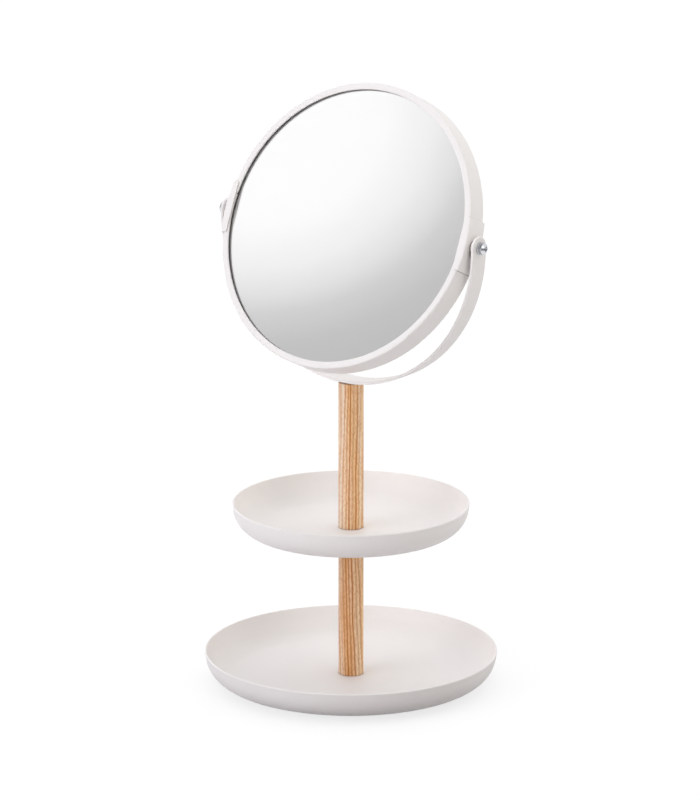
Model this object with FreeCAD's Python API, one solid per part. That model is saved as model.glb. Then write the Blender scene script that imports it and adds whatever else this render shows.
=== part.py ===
import FreeCAD, Part
import math
import os

# Tabletop mirror on a stand with two dished trays.
# Millimetres, +Z up, origin at the centre of the base on the surface it stands on.
# The mirror faces -Y and tilts about an axis along X, between the two ends of a half-ring yoke.

# ---- mirror ring and what it holds ----
ring_radius = 86.0          # outside of the rolled channel
ring_depth = 14.7           # front lip to rear lip
ring_sheet = 0.7
ring_corner = 0.9           # outside bend between wall and lip
ring_lip = 4.2              # how far each lip reaches inwards
ring_bead_radius = 0.6      # rolled edge of each lip, flush with its face
ring_split_gap = 0.5        # butt joint of the rolled channel, under the left clip
ring_split_angle = 6.0      # of the joint above the pivot, in degrees
glass_thickness = 1.6
glass_edge = 0.3            # ground edge
back_plate_sheet = 0.8
back_plate_edge = 0.2
disc_play = 0.3             # radial play of glass and back plate in the channel
seat_play = 0.05            # face-to-face play of pieces clamped in the channel
mirror_tilt = 24.4          # resting tilt backwards, in degrees

# ---- pivots ----
clip_sheet = 0.9
clip_corner = 1.1           # outside bend between saddle and flanges
clip_half_angle = 10.6      # of ring covered each side of the pivot, in degrees
clip_edge = 0.2             # rounding of its outside edges
screw_radius = 2.0
screw_head_radius = 3.6
screw_head_height = 2.6
screw_rim_height = 0.9      # straight rim of the head, under its dome
screw_tip_edge = 0.4
screw_slot_width = 1.0
screw_slot_depth = 1.1
screw_cross_width = 1.3
screw_cross_span = 4.2
screw_tip_reach = 0.5       # beyond the nut
nut_radius = 3.2
nut_length = 3.0
lock_washer_thickness = 1.0
lock_washer_gap = 0.6
flat_washer_thickness = 0.9
washer_rim = 1.5            # width of both washers beyond the screw
spacer_thickness = 2.4
spacer_rim = 1.6            # width of the spacer beyond the screw
hole_play = 0.15            # radial, screw in clip, ring, washers and spacer
thread_play = 0.05          # radial, screw or stud in its thread
running_play = 0.08         # radial, screw in the yoke
face_play = 0.1             # between yoke and the washers that turn against it

# ---- yoke ----
yoke_sheet = 1.8
yoke_width = 13.3
yoke_edge = 0.5
yoke_leg = 1.2              # straight length of each end below the pivot, above the half ring

# ---- post ----
post_radius = 7.5
post_edge = 0.4
lower_post_length = 90.0
upper_post_length = 89.5
stud_radius = 2.5
stud_reach = 10.0           # into each threaded insert
insert_radius = 3.6
insert_length = 12.0
insert_play = 0.05          # radial, insert in the wood
insert_recess = 0.3         # below the end of the post
bore_run_out = 1.5          # drilled past the insert

# ---- trays ----
tray_sheet = 1.2
tray_height = 17.5
tray_corner = 15.5          # outside radius between floor and wall
tray_flare = 9.0            # of the wall from upright, in degrees
tray_crown = 1.0            # rise of the floor's centre
tray_flat_ring = 21.0       # flat rim of the floor, outside the crown
tray_seat_rim = 2.5         # flat centre of the floor beyond the post
lower_tray_radius = 87.5
upper_tray_radius = 70.5
tray_hole_play = 0.2        # radial, stud in the tray

# ---- foot ----
pad_radius = 5.0
pad_height = 1.5
pad_edge = 0.4
pad_count = 4
pad_start_angle = 45.0      # of the first pad from +X, in degrees
base_washer_rim = 4.0       # width of the washer beyond the screw
base_washer_thickness = 0.6
base_head_rim = 2.4         # width of the head beyond the screw
base_head_height = 1.3

overrun = 1.0               # how far a cutter runs past what it cuts

# ---- heights, worked out from the sizes above ----
lower_tray_bottom = pad_height
lower_seat_under = lower_tray_bottom + tray_crown
lower_post_bottom = lower_seat_under + tray_sheet
lower_post_top = lower_post_bottom + lower_post_length
upper_tray_bottom = lower_post_top - tray_crown
upper_post_bottom = lower_post_top + tray_sheet
upper_post_top = upper_post_bottom + upper_post_length

# ---- radii from the mirror's axis, and places along the pivot axis ----
ring_inner = ring_radius - ring_sheet
lip_radius = ring_radius - ring_lip
clip_inner = ring_radius + seat_play
clip_outer = clip_inner + clip_sheet
clip_half_depth = ring_depth / 2 + seat_play + clip_sheet
spacer_start = clip_outer + face_play
spacer_radius = screw_radius + spacer_rim
spacer_bend_drop = max(spacer_radius - yoke_leg, 0)
yoke_inner = math.hypot(spacer_start + spacer_thickness + face_play, spacer_bend_drop)
yoke_outer = yoke_inner + yoke_sheet
flat_washer_start = yoke_outer + face_play
lock_washer_start = flat_washer_start + flat_washer_thickness
screw_head_start = lock_washer_start + lock_washer_thickness
nut_outer_end = math.sqrt(ring_inner ** 2 - nut_radius ** 2) - seat_play
nut_inner_end = nut_outer_end - nut_length
screw_tip = nut_inner_end - screw_tip_reach
pivot_height = upper_post_top + yoke_outer + yoke_leg

X_AXIS = FreeCAD.Vector(1, 0, 0)
Y_AXIS = FreeCAD.Vector(0, 1, 0)
Z_AXIS = FreeCAD.Vector(0, 0, 1)
ORIGIN = FreeCAD.Vector(0, 0, 0)
PIVOT = FreeCAD.Vector(0, 0, pivot_height)


# ---- helpers ----

def outline(start, *steps):
    """A face in the XY plane. A step is a point for a straight edge, or (point on arc, end) for an arc."""
    edges = []
    here = FreeCAD.Vector(*start, 0)
    for step in steps:
        if isinstance(step[0], tuple):
            through = FreeCAD.Vector(*step[0], 0)
            there = FreeCAD.Vector(*step[1], 0)
            edges.append(Part.Arc(here, through, there).toShape())
        else:
            there = FreeCAD.Vector(*step, 0)
            edges.append(Part.LineSegment(here, there).toShape())
        here = there
    return Part.Face(Part.Wire(edges))


def on_circle(centre, radius, degrees):
    """The point of a circle at an angle from the first axis."""
    turn = math.radians(degrees)
    return (centre[0] + radius * math.cos(turn), centre[1] + radius * math.sin(turn))


def turned(profile):
    """A solid of revolution about Z, from a profile of (radius, height)."""
    upright = profile.rotated(ORIGIN, X_AXIS, 90)
    return upright.revolve(ORIGIN, Z_AXIS, 360)


def tube(outer, inner, bottom, length):
    """A ring with flat ends about Z."""
    ring = Part.makeCylinder(outer, length, FreeCAD.Vector(0, 0, bottom))
    hole = Part.makeCylinder(inner, length + 2 * overrun, FreeCAD.Vector(0, 0, bottom - overrun))
    return ring.cut(hole)


def along_pivot(shape, side):
    """Lays a shape built about Z along the pivot axis, pointing to +X (side 1) or -X (side -1)."""
    return shape.rotated(ORIGIN, Y_AXIS, 90 * side)


def pivot_hole(radius):
    """A drill along the pivot axis, through both sides."""
    length = 2 * screw_head_start
    start = FreeCAD.Vector(-length / 2, 0, 0)
    return Part.makeCylinder(radius, length, start, X_AXIS)


def tilted(shape):
    """Lifts a piece of the mirror, built upright about the origin, to the pivot and leans it back."""
    raised = shape.translated(PIVOT)
    return raised.rotated(PIVOT, X_AXIS, -mirror_tilt)


def channel_section(outer, half_depth, sheet, corner, lip, bead):
    """A C section, open towards the axis, of (radius, depth). Its bends and the edges of its lips are round."""
    inner = outer - sheet
    bend = corner - sheet
    edge = outer - corner
    front = half_depth - corner
    floor = half_depth - sheet
    lip_end = lip + bead
    meeting = 360 + math.degrees(math.asin((bead - sheet) / bead))
    middle = (90 + meeting) / 2
    front_bead = (lip_end, half_depth - bead)
    rear_bead = (lip_end, bead - half_depth)
    return outline(
        (lip_end, -half_depth),
        (edge, -half_depth),
        (on_circle((edge, -front), corner, -45), (outer, -front)),
        (outer, front),
        (on_circle((edge, front), corner, 45), (edge, half_depth)),
        (lip_end, half_depth),
        (on_circle(front_bead, bead, middle), on_circle(front_bead, bead, meeting)),
        (edge, floor),
        (on_circle((edge, front), bend, 45), (inner, front)),
        (inner, -front),
        (on_circle((edge, -front), bend, -45), (edge, -floor)),
        on_circle(rear_bead, bead, -meeting),
        (on_circle(rear_bead, bead, -middle), (lip_end, -half_depth)),
    )


# ---- mirror ----

def ring_frame():
    """Rolled channel round the glass, closed by a butt joint that the left clip covers."""
    half = ring_depth / 2
    section = channel_section(ring_radius, half, ring_sheet, ring_corner, lip_radius, ring_bead_radius)
    ring = section.revolve(ORIGIN, Y_AXIS, 360)
    reach = ring_lip + 2 * overrun
    split = Part.makeBox(reach, ring_depth + 2 * overrun, ring_split_gap)
    corner = FreeCAD.Vector(-ring_radius - overrun, -half - overrun, -ring_split_gap / 2)
    split.translate(corner)
    split.rotate(ORIGIN, Y_AXIS, ring_split_angle)
    return ring.cut(split).cut(pivot_hole(screw_radius + hole_play))


def channel_disc(front, thickness, radius, edge):
    """A disc about the mirror's axis, with its front face at a depth, and both rims chamfered."""
    disc = Part.makeCylinder(radius, thickness, FreeCAD.Vector(0, front, 0), Y_AXIS)
    rims = [rim for rim in disc.Edges if isinstance(rim.Curve, Part.Circle)]
    return disc.makeChamfer(edge, rims)


glass_front = 2 * ring_bead_radius + seat_play - ring_depth / 2
glass_back = glass_front + glass_thickness
back_plate_front = -glass_front - back_plate_sheet
disc_radius = ring_inner - disc_play


def mirror_glass():
    return channel_disc(glass_front, glass_thickness, disc_radius, glass_edge)


def back_plate():
    return channel_disc(back_plate_front, back_plate_sheet, disc_radius, back_plate_edge)


def packing_disc():
    """Board that presses the glass against the front lip and stays clear of the pivot screws."""
    start = glass_back + seat_play
    thickness = back_plate_front - seat_play - start
    return channel_disc(start, thickness, screw_tip - disc_play, glass_edge)


# ---- pivots ----

def pivot_clip(side):
    """Saddle that wraps wall and both lips of the ring, its flanges cut straight along their edge."""
    reach = lip_radius - clip_sheet
    bead = clip_sheet / 2
    section = channel_section(clip_outer, clip_half_depth, clip_sheet, clip_corner, reach, bead)
    start = section.rotated(ORIGIN, Y_AXIS, -clip_half_angle)
    wrap = start.revolve(ORIGIN, Y_AXIS, 2 * clip_half_angle)
    size = 2 * clip_outer
    keep = Part.makeBox(size, size, size, FreeCAD.Vector(lip_radius, -size / 2, -size / 2))
    clip = wrap.common(keep)
    rims = [edge for edge in clip.Edges if on_clip_outside(edge)]
    clip = clip.makeFillet(clip_edge, rims)
    clip = clip.cut(pivot_hole(screw_radius + hole_play))
    return clip if side > 0 else clip.rotated(ORIGIN, Z_AXIS, 180)


def on_clip_outside(edge):
    """True for the edges of the clip's outer skin at its two ends and along its flanges."""
    middle = edge.valueAt((edge.FirstParameter + edge.LastParameter) / 2)
    across = math.hypot(middle.x, middle.z)
    outer_skin = abs(middle.y) > clip_half_depth - 1e-4 or across > clip_outer - 1e-4
    angle = abs(math.degrees(math.atan2(middle.z, middle.x)))
    end = angle > clip_half_angle - 1e-3
    flange = middle.x < lip_radius + 1e-4
    return outer_skin and (end or flange)


def pivot_nut(side):
    """Round threaded boss inside the channel wall."""
    boss = tube(nut_radius, screw_radius + thread_play, nut_inner_end, nut_length)
    return along_pivot(boss, side)


def pivot_spacer(side):
    ring = tube(spacer_radius, screw_radius + hole_play, spacer_start, spacer_thickness)
    return along_pivot(ring, side)


def flat_washer(side):
    outer = screw_radius + washer_rim
    ring = tube(outer, screw_radius + hole_play, flat_washer_start, flat_washer_thickness)
    return along_pivot(ring, side)


def lock_washer(side):
    """Spring washer, cut through on one side."""
    outer = screw_radius + washer_rim
    ring = tube(outer, screw_radius + hole_play, lock_washer_start, lock_washer_thickness)
    gap = Part.makeBox(outer, lock_washer_gap, lock_washer_thickness + 2 * overrun)
    gap.translate(FreeCAD.Vector(0, -lock_washer_gap / 2, lock_washer_start - overrun))
    return along_pivot(ring.cut(gap), side)


def pivot_screw(side):
    """Pan-head machine screw with a combined slot and cross recess."""
    head_top = screw_head_start + screw_head_height
    shoulder = screw_head_start + screw_rim_height
    rise = screw_head_height - screw_rim_height
    dome = (screw_head_radius ** 2 + rise ** 2) / (2 * rise)
    dome_centre = (0, head_top - dome)
    dome_foot = math.degrees(math.acos(screw_head_radius / dome))
    profile = outline(
        (0, screw_tip),
        (screw_radius - screw_tip_edge, screw_tip),
        (screw_radius, screw_tip + screw_tip_edge),
        (screw_radius, screw_head_start),
        (screw_head_radius, screw_head_start),
        (screw_head_radius, shoulder),
        (on_circle(dome_centre, dome, (dome_foot + 90) / 2), (0, head_top)),
        (0, screw_tip),
    )
    screw = turned(profile)
    slot_floor = head_top - screw_slot_depth
    slot = Part.makeBox(2 * screw_head_radius, screw_slot_width, screw_slot_depth + overrun)
    slot.translate(FreeCAD.Vector(-screw_head_radius, -screw_slot_width / 2, slot_floor))
    cross = Part.makeBox(screw_cross_width, screw_cross_span, screw_slot_depth + overrun)
    cross.translate(FreeCAD.Vector(-screw_cross_width / 2, -screw_cross_span / 2, slot_floor))
    upright_slot = slot.fuse(cross).rotated(ORIGIN, Z_AXIS, 90)
    return along_pivot(screw.cut(upright_slot), side)


# ---- yoke ----

def yoke():
    """Flat strip bent to a half ring, with rounded ends drilled for the pivot screws."""
    eye = yoke_width / 2
    strip = outline(
        (-yoke_outer, eye),
        (-yoke_outer, -yoke_leg),
        ((0, -yoke_leg - yoke_outer), (yoke_outer, -yoke_leg)),
        (yoke_outer, eye),
        (yoke_inner, eye),
        (yoke_inner, -yoke_leg),
        ((0, -yoke_leg - yoke_inner), (-yoke_inner, -yoke_leg)),
        (-yoke_inner, eye),
        (-yoke_outer, eye),
    ).rotated(ORIGIN, X_AXIS, 90)
    strip.translate(FreeCAD.Vector(0, eye, 0))
    band = strip.extrude(FreeCAD.Vector(0, -yoke_width, 0))
    size = 2 * (yoke_outer + yoke_leg + overrun)
    below = Part.makeBox(size, size, size, FreeCAD.Vector(-size / 2, -size / 2, -size))
    ends = Part.makeCylinder(eye, size, FreeCAD.Vector(-size / 2, 0, 0), X_AXIS)
    band = band.common(below.fuse(ends)).removeSplitter()
    rims = [edge for edge in band.Edges if not runs_across(edge)]
    band = band.makeFillet(yoke_edge, rims)
    return band.cut(pivot_hole(screw_radius + running_play)).translated(PIVOT)


def runs_across(edge):
    """True for the straight edges that cross the strip's width or its thickness."""
    if not isinstance(edge.Curve, Part.Line):
        return False
    return abs(edge.Curve.Direction.z) < 0.5


def yoke_stud():
    """Threaded stud welded under the yoke."""
    length = stud_reach + insert_recess
    bottom = FreeCAD.Vector(0, 0, upper_post_top - length)
    return Part.makeCylinder(stud_radius, length, bottom)


# ---- post ----

def post(bottom, length):
    """Turned dowel with softened ends, drilled at both ends for threaded inserts."""
    dowel = Part.makeCylinder(post_radius, length, FreeCAD.Vector(0, 0, bottom))
    rims = [edge for edge in dowel.Edges if isinstance(edge.Curve, Part.Circle)]
    dowel = dowel.makeChamfer(post_edge, rims)
    depth = insert_recess + insert_length + bore_run_out
    bore = insert_radius + insert_play
    foot = FreeCAD.Vector(0, 0, bottom - overrun)
    foot_bore = Part.makeCylinder(bore, depth + overrun, foot)
    head = FreeCAD.Vector(0, 0, bottom + length - depth)
    head_bore = Part.makeCylinder(bore, depth + overrun, head)
    return dowel.cut(foot_bore).cut(head_bore)


def insert_at_bottom(end):
    return tube(insert_radius, stud_radius + thread_play, end + insert_recess, insert_length)


def insert_at_top(end):
    start = end - insert_recess - insert_length
    return tube(insert_radius, stud_radius + thread_play, start, insert_length)


def tray_stud():
    """Threaded rod that joins the two posts through the upper tray."""
    reach = insert_recess + stud_reach
    length = 2 * reach + tray_sheet
    return Part.makeCylinder(stud_radius, length, FreeCAD.Vector(0, 0, lower_post_top - reach))


# ---- trays ----

def tray_foot_radius(rim):
    """Where the flat floor ends and the outside corner starts, for a tray of a given rim radius."""
    flare = math.radians(tray_flare)
    half = tray_sheet / 2
    wall_top_radius = rim - half + half * math.cos(flare)
    wall_top_height = tray_height - half - half * math.sin(flare)
    corner_height = tray_corner * (1 - math.sin(flare))
    wall_run = (wall_top_height - corner_height) * math.tan(flare)
    return wall_top_radius - wall_run - tray_corner * math.cos(flare)


def tray(rim, bottom):
    """Pressed dish: crowned floor, round corner, flared wall and a rounded rim."""
    half = tray_sheet / 2
    hole = stud_radius + tray_hole_play
    seat = post_radius + tray_seat_rim
    foot = tray_foot_radius(rim)
    flat = foot - tray_flat_ring
    middle = (seat + flat) / 2
    quarter = (flat - seat) / 4
    ease = tray_crown / 8
    corner = (foot, tray_corner)
    cap = (rim - half, tray_height - half)
    wall_side = -tray_flare
    bend_middle = -45 - tray_flare / 2
    inner_bend = tray_corner - tray_sheet
    top = tray_sheet
    profile = outline(
        (hole, tray_crown),
        (seat, tray_crown),
        ((seat + quarter, tray_crown - ease), (middle, tray_crown / 2)),
        ((flat - quarter, ease), (flat, 0)),
        (foot, 0),
        (on_circle(corner, tray_corner, bend_middle), on_circle(corner, tray_corner, wall_side)),
        on_circle(cap, half, wall_side),
        (on_circle(cap, half, wall_side + 90), on_circle(cap, half, wall_side + 180)),
        on_circle(corner, inner_bend, wall_side),
        (on_circle(corner, inner_bend, bend_middle), (foot, top)),
        (flat, top),
        ((flat - quarter, top + ease), (middle, top + tray_crown / 2)),
        ((seat + quarter, top + tray_crown - ease), (seat, top + tray_crown)),
        (hole, top + tray_crown),
        (hole, tray_crown),
    )
    return turned(profile).translated(FreeCAD.Vector(0, 0, bottom))


# ---- foot ----

def base_washer():
    bottom = lower_seat_under - base_washer_thickness
    outer = stud_radius + base_washer_rim
    return tube(outer, stud_radius + tray_hole_play, bottom, base_washer_thickness)


def base_screw():
    """Low-head screw that pulls the lower tray against the post."""
    head_top = lower_seat_under - base_washer_thickness
    head_bottom = head_top - base_head_height
    head_radius = stud_radius + base_head_rim
    tip = lower_post_bottom + insert_recess + stud_reach
    edge = base_head_height / 2
    profile = outline(
        (0, head_bottom),
        (head_radius - edge, head_bottom),
        (on_circle((head_radius - edge, head_bottom + edge), edge, -45), (head_radius, head_bottom + edge)),
        (head_radius, head_top),
        (stud_radius, head_top),
        (stud_radius, tip),
        (0, tip),
        (0, head_bottom),
    )
    return turned(profile)


def foot_pads():
    """Round pads under the flat ring of the lower tray."""
    circle = tray_foot_radius(lower_tray_radius) - tray_flat_ring / 2
    pads = []
    for number in range(pad_count):
        pad = Part.makeCylinder(pad_radius, pad_height, FreeCAD.Vector(circle, 0, 0))
        rim = [edge for edge in pad.Edges if edge.CenterOfMass.z < 1e-6 and edge.Closed]
        pad = pad.makeFillet(pad_edge, rim)
        pads.append(pad.rotated(ORIGIN, Z_AXIS, pad_start_angle + 360 * number / pad_count))
    return Part.makeCompound(pads)


# ---- the assembly ----

def mirror_pieces():
    """Everything that tilts with the mirror, upright and centred on the origin."""
    pieces = {
        "ring_frame": ring_frame(),
        "mirror_glass": mirror_glass(),
        "packing_disc": packing_disc(),
        "back_plate": back_plate(),
    }
    for name, side in (("right", 1), ("left", -1)):
        pieces["pivot_clip_" + name] = pivot_clip(side)
        pieces["pivot_nut_" + name] = pivot_nut(side)
        pieces["pivot_spacer_" + name] = pivot_spacer(side)
        pieces["flat_washer_" + name] = flat_washer(side)
        pieces["lock_washer_" + name] = lock_washer(side)
        pieces["pivot_screw_" + name] = pivot_screw(side)
    return pieces


def stand_pieces():
    return {
        "yoke": yoke(),
        "yoke_stud": yoke_stud(),
        "upper_post": post(upper_post_bottom, upper_post_length),
        "upper_post_top_insert": insert_at_top(upper_post_top),
        "upper_post_bottom_insert": insert_at_bottom(upper_post_bottom),
        "tray_stud": tray_stud(),
        "upper_tray": tray(upper_tray_radius, upper_tray_bottom),
        "lower_post": post(lower_post_bottom, lower_post_length),
        "lower_post_top_insert": insert_at_top(lower_post_top),
        "lower_post_bottom_insert": insert_at_bottom(lower_post_bottom),
        "lower_tray": tray(lower_tray_radius, lower_tray_bottom),
        "base_washer": base_washer(),
        "base_screw": base_screw(),
        "foot_pads": foot_pads(),
    }


def main():
    parts = {name: tilted(shape) for name, shape in mirror_pieces().items()}
    parts.update(stand_pieces())
    os.makedirs("parts", exist_ok=True)
    for name, shape in parts.items():
        shape.exportStep("parts/" + name + ".step")
    print(len(parts), "parts, pivot at", round(pivot_height, 3))


main()
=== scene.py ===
import math

import bmesh
import bpy
from mathutils import Matrix, Vector


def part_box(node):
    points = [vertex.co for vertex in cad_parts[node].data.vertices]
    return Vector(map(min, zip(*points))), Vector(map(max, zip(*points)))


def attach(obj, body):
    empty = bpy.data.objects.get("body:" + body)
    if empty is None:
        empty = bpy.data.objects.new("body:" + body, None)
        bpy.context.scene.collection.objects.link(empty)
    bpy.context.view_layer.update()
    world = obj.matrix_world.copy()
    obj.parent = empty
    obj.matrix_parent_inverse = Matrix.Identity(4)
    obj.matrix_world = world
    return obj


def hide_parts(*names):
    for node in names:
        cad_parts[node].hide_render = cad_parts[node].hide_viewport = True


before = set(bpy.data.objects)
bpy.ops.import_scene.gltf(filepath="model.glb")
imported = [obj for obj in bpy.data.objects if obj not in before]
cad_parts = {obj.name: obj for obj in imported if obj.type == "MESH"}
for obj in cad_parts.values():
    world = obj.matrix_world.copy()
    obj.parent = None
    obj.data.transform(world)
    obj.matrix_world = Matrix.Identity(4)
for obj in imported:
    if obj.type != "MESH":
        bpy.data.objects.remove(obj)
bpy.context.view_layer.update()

# Tabletop mirror with two dished trays on a wooden post. Metres, in the frame of the solids: +Z up, and
# the mirror faces -Y. Most nodes keep their own mesh and get a material. The pivots' small parts, the
# mirror plate and the screw under the base are made here, each in place of a plainer node.

MM = 0.001

# ---- camera, found by a least-squares fit to the edges in the photo ----
FRAME_LONG_SIDE = 800                 # pixels
FOCAL_PIXELS = 4533.97
CAMERA_REACH = 2.58738                # horizontal distance from the stand's axis
CAMERA_HEIGHT = 0.85812
CAMERA_PITCH = math.radians(14.835)
CAMERA_AZIMUTH = math.radians(36.137)
CAMERA_PAN_PIXELS = 0.978
SENSOR = 36.0                         # millimetres
CLIP_NEAR = 0.05
CLIP_FAR = 60.0

# ---- mirror plate ----
MIRROR_TILT = math.radians(-24.4)
PLATE_PLAY = 0.02 * MM                # the plate made here is that much thinner on either side
PLATE_EDGE = 0.35 * MM
PLATE_SEGMENTS = 288

# ---- screws ----
SCREW_RADIUS = 2.0 * MM
THREAD_PITCH = 0.7 * MM
THREAD_DEPTH = 0.36 * MM
THREAD_PLAY = 0.02 * MM
THREAD_SIDES = 40
THREAD_ROWS = 10                      # in each pitch
THREAD_STEEPNESS = 1.25               # over 1, which leaves a narrow flat on the crest
SCREW_TIP = 0.4 * MM                  # length of the chamfer at the tip
TIP_SLOPE = 0.6                       # how much of that it takes off the radius
HEAD_RIM = 0.9 * MM                   # height of the head's upright side
HEAD_EDGE = 0.18 * MM
HEAD_SOFTENING = 0.07 * MM            # width of the bevel on the head's sharp edges
SHANK_OVERLAP = 0.05 * MM             # how far the shank reaches into the head
SLOT_MOUTH = (8.2 * MM, 1.3 * MM)     # length and width
SLOT_FOOT = (8.2 * MM, 1.2 * MM)
SLOT_DEPTH = 1.4 * MM
SLOT_ABOVE = 0.6 * MM                 # how far the cutter stands over the dome
WING_MOUTH = (3.8 * MM, 0.95 * MM)
WING_FOOT = (1.5 * MM, 0.7 * MM)
WING_DEPTH = 1.5 * MM
WING_ABOVE = 0.18 * MM
# The faces picked here get darker zinc, as painted shade in the recess and on the rim.
RECESS_MARGIN = 0.12 * MM             # faces this far inside the head's surface belong to the recess,
SEAT_MARGIN = 0.2 * MM                # if they are also this far over its seat
FACES_UP = 0.8                        # the recess's floor is what faces up at least this much
RIM_MARGIN = 0.10 * MM                # faces this close to the head's side belong to the rim
SLOT_TURN = {1: math.radians(-6), -1: math.radians(38)}   # from level, at the right and the left pivot

# ---- washers and spacers of the pivots ----
HOLE_RADIUS = 2.15 * MM
WASHER_SEGMENTS = 90
FLAT_WASHER_EDGE = 0.16 * MM
SPACER_EDGE = 0.25 * MM
SPRING_STEP = 0.45 * MM               # how much smaller than the flat washer, in radius
SPRING_EDGE = 0.2 * MM
SPRING_SPLIT = 0.5 * MM
SPRING_RISE = 0.03 * MM               # from one end to the other
SPRING_ROOM = 0.04 * MM               # left free in the node's thickness for that
SPRING_TURN = math.radians(115)

# ---- screw under the base ----
FOOT_SCREW_RADIUS = 2.5 * MM
FOOT_HEAD_RADIUS = 4.6 * MM
FOOT_WING_MOUTH = (5.2 * MM, 1.3 * MM)
FOOT_WING_FOOT = (2.0 * MM, 0.8 * MM)
FOOT_WING_DEPTH = 1.0 * MM
FOOT_WING_ABOVE = 0.3 * MM

HEAD_SEGMENTS = 72
SHARP_EDGE = math.radians(35)         # edges sharper than this stay sharp
BEVELLED_EDGE = math.radians(38)      # and in a screw's head, those sharper than this get a bevel


def pivot_point():
    """Middle of the mirror's axis, level with both pivot screws."""
    low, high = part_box("flat_washer_right")
    return Vector((0, (low.y + high.y) / 2, (low.z + high.z) / 2))


PIVOT = pivot_point()
POST_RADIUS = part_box("upper_post")[1].x
RING_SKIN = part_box("ring_frame")[1].x - 0.4 * MM     # from the pivot to just under the ring's outer face


# ================= node trees =================

class Nodes:
    """Short calls that add nodes to a tree. A source is another node's output or a plain value."""

    def __init__(self, tree):
        self.tree = tree

    def add(self, kind, **settings):
        made = self.tree.nodes.new(kind)
        for name, value in settings.items():
            setattr(made, name, value)
        return made

    def join(self, source, target):
        if hasattr(source, "is_output"):
            self.tree.links.new(source, target)
        else:
            target.default_value = source

    def math(self, what, a, b=0.0, clamp=False):
        made = self.add("ShaderNodeMath", operation=what, use_clamp=clamp)
        for source, target in zip((a, b), made.inputs):
            self.join(source, target)
        return made.outputs[0]

    def split(self, vector):
        """The three numbers of a vector."""
        made = self.add("ShaderNodeSeparateXYZ")
        self.join(vector, made.inputs[0])
        return tuple(made.outputs)

    def length(self, x, y):
        """How far a place lies from the origin, in two directions."""
        squares = self.math("ADD", self.math("POWER", x, 2.0), self.math("POWER", y, 2.0))
        return self.math("SQRT", squares)

    def vector(self, what, a, b):
        """A sum of two vectors or, with SCALE, a vector times a number."""
        made = self.add("ShaderNodeVectorMath", operation=what)
        self.join(a, made.inputs[0])
        self.join(b, made.inputs[3 if what == "SCALE" else 1])
        return made.outputs[0]


class Shader(Nodes):
    """A material with its principled shader."""

    def __init__(self, name):
        self.material = bpy.data.materials.new(name)
        self.material.use_nodes = True
        super().__init__(self.material.node_tree)
        self.surface = self.tree.nodes["Principled BSDF"]
        self.places = self.add("ShaderNodeTexCoord").outputs["Object"]

    def replace_surface(self, made):
        """Puts another shader in the place of the principled one."""
        self.tree.nodes.remove(self.surface)
        self.join(made.outputs[0], self.tree.nodes["Material Output"].inputs["Surface"])

    def set(self, **values):
        """Constants straight on the principled shader's sockets."""
        for name, value in values.items():
            self.surface.inputs[name.replace("_", " ")].default_value = value

    def colour(self, source):
        self.join(source, self.surface.inputs["Base Color"])

    def roughness(self, source):
        self.join(source, self.surface.inputs["Roughness"])

    def scaled(self, vector, factors, shift=(0, 0, 0)):
        made = self.add("ShaderNodeMapping")
        self.join(vector, made.inputs["Vector"])
        made.inputs["Scale"].default_value = factors
        made.inputs["Location"].default_value = shift
        return made.outputs["Vector"]

    def noise(self, vector, scale, detail=2.0, rough=0.5):
        made = self.add("ShaderNodeTexNoise")
        self.join(vector, made.inputs["Vector"])
        made.inputs["Scale"].default_value = scale
        made.inputs["Detail"].default_value = detail
        made.inputs["Roughness"].default_value = rough
        return made.outputs["Fac"]

    def noise_along(self, place, scale, detail):
        """Noise that changes with one number only."""
        made = self.add("ShaderNodeTexNoise", noise_dimensions="1D")
        self.join(place, made.inputs["W"])
        made.inputs["Scale"].default_value = scale
        made.inputs["Detail"].default_value = detail
        return made.outputs[0]

    def span(self, value, low, high, to_low=0.0, to_high=1.0, smooth=False):
        made = self.add("ShaderNodeMapRange")
        if smooth:
            made.interpolation_type = "SMOOTHSTEP"
        for source, target in zip((value, low, high, to_low, to_high), made.inputs):
            self.join(source, target)
        return made.outputs[0]

    def spread(self, noise, to_low=0.0, to_high=1.0):
        """The range that most of a noise lies in, spread over another."""
        return self.span(noise, 0.3, 0.7, to_low, to_high)

    def mix(self, share, a, b, blend="MIX"):
        made = self.add("ShaderNodeMix", data_type="RGBA", blend_type=blend)
        self.join(share, made.inputs[0])
        self.join(a, made.inputs[6])
        self.join(b, made.inputs[7])
        return made.outputs[2]

    def ramp(self, value, *stops):
        """A curve through stops of (place, level)."""
        made = self.add("ShaderNodeValToRGB")
        band = made.color_ramp
        while len(band.elements) < len(stops):
            band.elements.new(0.5)
        for element, (place, level) in zip(band.elements, stops):
            element.position = place
            element.color = (level, level, level, 1)
        self.join(value, made.inputs[0])
        return made.outputs[0]

    def crevice_shade_share(self, within, tight, open_, most, samples=16):
        """How far into a narrow gap a place lies: 0 in the open, most in the tightest."""
        # the share of painted shade, from how closed in by nearby surfaces a place is
        made = self.add("ShaderNodeAmbientOcclusion", samples=samples)
        made.inputs["Distance"].default_value = within
        return self.span(made.outputs["AO"], tight, open_, most, 0.0, True)

    def bump(self, height, depth, strength=1.0, under=None):
        made = self.add("ShaderNodeBump")
        made.inputs["Strength"].default_value = strength
        made.inputs["Distance"].default_value = depth
        self.join(height, made.inputs["Height"])
        if under is not None:
            self.join(under, made.inputs["Normal"])
        self.join(made.outputs[0], self.surface.inputs["Normal"])
        return made.outputs[0]


# ================= materials =================

def linear(red, green, blue):
    """An sRGB colour, 0 to 255, as the linear colour that a shader takes."""
    def one(v):
        v /= 255
        return v / 12.92 if v <= 0.04045 else ((v + 0.055) / 1.055) ** 2.4
    return (one(red), one(green), one(blue), 1.0)


# Painted shade for seams, creases and narrow gaps
PAINTED_CREVICE_SHADE = linear(112, 100, 93)        # a pale surface where little light gets in


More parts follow.
